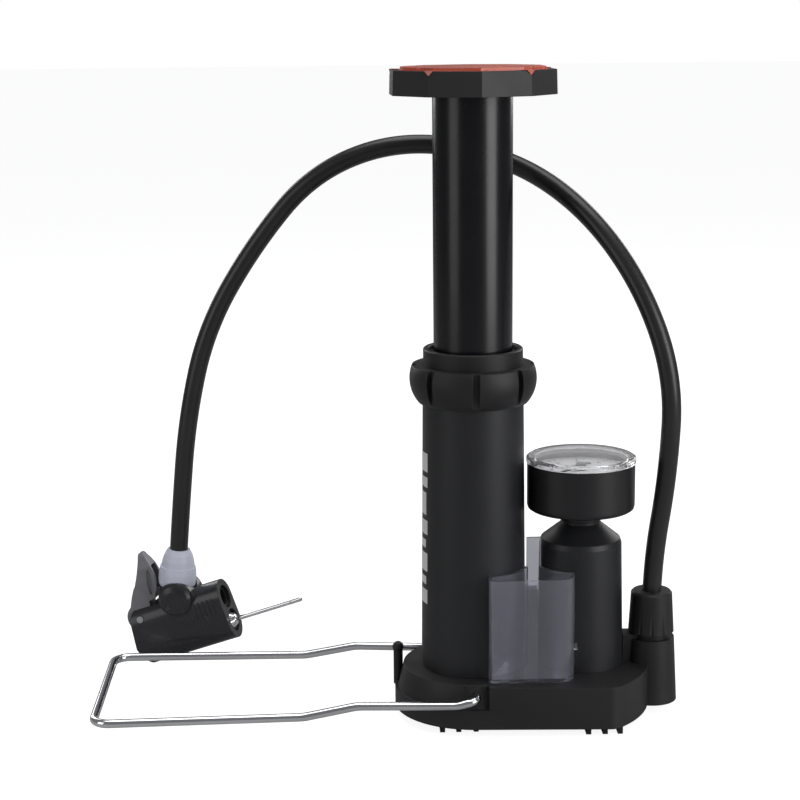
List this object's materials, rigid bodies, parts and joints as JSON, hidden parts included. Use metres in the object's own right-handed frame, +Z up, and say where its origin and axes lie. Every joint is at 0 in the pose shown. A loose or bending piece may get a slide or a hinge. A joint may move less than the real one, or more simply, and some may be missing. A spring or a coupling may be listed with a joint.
{
  "type": "foot pump",
  "caption": "Foot pump with spring-return pedal, pressure gauge on an air bottle, hose with twin valve head, folding wire foot bail and clear accessory box.",
  "frame": {"origin": "on the barrel axis, on the floor plane under the foot ribs", "axes": "+Z up along the barrel, +X from the barrel towards the air bottle, the user stands at -Y"},
  "size_m": [0.2803, 0.1294, 0.3094],
  "materials": {
    "base_plastic": "matte moulded plastic with fine grain",
    "barrel_plastic": "satin moulded plastic",
    "tube_black": "gloss black anodised tube",
    "pedal_plastic": "matte moulded plastic",
    "pad_red": "glossy soft tread",
    "foot_rubber": "matte rubber",
    "seal_rubber": "oiled rubber",
    "nylon": "natural nylon",
    "inner_plastic": "moulded plastic",
    "steel": "plated screws and pins",
    "spring_steel": "oiled spring wire",
    "aluminium": "drawn tube",
    "brass": "turned brass",
    "chrome_wire": "bright plated wire",
    "gauge_black": "satin moulded plastic",
    "dial_white": "printed dial",
    "pointer_black": "painted pointer",
    "clear_plastic": "clear polished plastic",
    "hose_rubber": "smooth rubber hose",
    "nut_clear": "milky translucent plastic",
    "head_plastic": "semi-gloss moulded plastic",
    "lever_grey": "grey moulded plastic"
  },
  "bodies": {
    "pump_body": {"base": "base_plastic", "bottom_plate": "base_plastic", "plate_screws": "steel", "foot_pad_left": "foot_rubber", "foot_pad_right": "foot_rubber", "barrel": "barrel_plastic", "barrel_screws": "steel", "collar_nut": "base_plastic", "guide_sleeve": "base_plastic", "guide_bush": "nylon", "rod_wiper": "seal_rubber", "stop_bumper": "seal_rubber", "pump_rod": "aluminium", "rod_head": "nylon", "rod_seal": "seal_rubber", "return_spring": "spring_steel", "check_valve": "brass", "check_flap": "seal_rubber", "transfer_tube": "inner_plastic", "outlet_tube": "inner_plastic", "bottle_fitting": "brass", "bottle_nut": "brass", "accumulator": "barrel_plastic", "gauge_stem": "brass", "gauge_housing": "gauge_black", "gauge_socket": "brass", "bourdon_tube": "brass", "gauge_dial": "dial_white", "gauge_lens": "clear_plastic", "hose_barb": "brass", "hose_nut": "base_plastic", "hose": "hose_rubber", "head_barb": "brass", "head_nut": "nut_clear", "head_body": "head_plastic", "lever_pin": "steel", "mouth_gasket_upper": "seal_rubber", "mouth_gasket_lower": "seal_rubber"},
    "plunger": {"piston_tube": "tube_black", "guide_ring": "nylon", "tube_plug": "inner_plastic", "plug_seal": "seal_rubber", "pedal": "pedal_plastic", "pedal_screw": "steel", "pedal_pad": "pad_red"},
    "bail": {"bail": "chrome_wire"},
    "gauge_pointer": {"gauge_pointer": "pointer_black"},
    "head_lever": {"head_lever": "lever_grey"},
    "head_plunger": {"head_plunger": "inner_plastic"},
    "ball_needle": {"ball_needle": "chrome_wire"},
    "accessory_box": {"accessory_box": "clear_plastic"}
  },
  "joints": [
    {"name": "pedal_stroke", "type": "slide", "parent": "pump_body", "child": "plunger", "axis": [0, 0, -1], "range_m": [0, 0.117], "stiffness_N_per_m": 250, "springref_m": -0.03, "deforming": ["return_spring"]},
    {"name": "bail_fold", "type": "hinge", "parent": "pump_body", "child": "bail", "pos_m": [-0.001, 0, 0.0195], "axis": [0, 1, 0], "range_deg": [0, 84]},
    {"name": "gauge_needle_turn", "type": "hinge", "parent": "pump_body", "child": "gauge_pointer", "pos_m": [0.0515, 0, 0.1205], "axis": [0, 0, -1], "range_deg": [0, 270], "stiffness_Nm_per_rad": 0.0002, "springref_deg": -17.19},
    {"name": "lever_swing", "type": "hinge", "parent": "pump_body", "child": "head_lever", "pos_m": [-0.16545, 0.07103, 0.02852], "axis": [-0.2419, -0.9703, 0], "range_deg": [0, 80]},
    {"name": "gasket_squeeze", "type": "slide", "parent": "pump_body", "child": "head_plunger", "axis": [0.9118, -0.2273, 0.342], "range_m": [0, 0.0026]},
    {"name": "needle_pull", "type": "slide", "parent": "pump_body", "child": "ball_needle", "axis": [0.9118, -0.2273, 0.342], "range_m": [0, 0.04]},
    {"name": "box_slide", "type": "slide", "parent": "pump_body", "child": "accessory_box", "axis": [0, -1, 0], "range_m": [0, 0.045]}
  ],
  "couplings": [
    {"joint": "gasket_squeeze", "follows": "lever_swing", "m_per_rad": 0.00179}
  ]
}
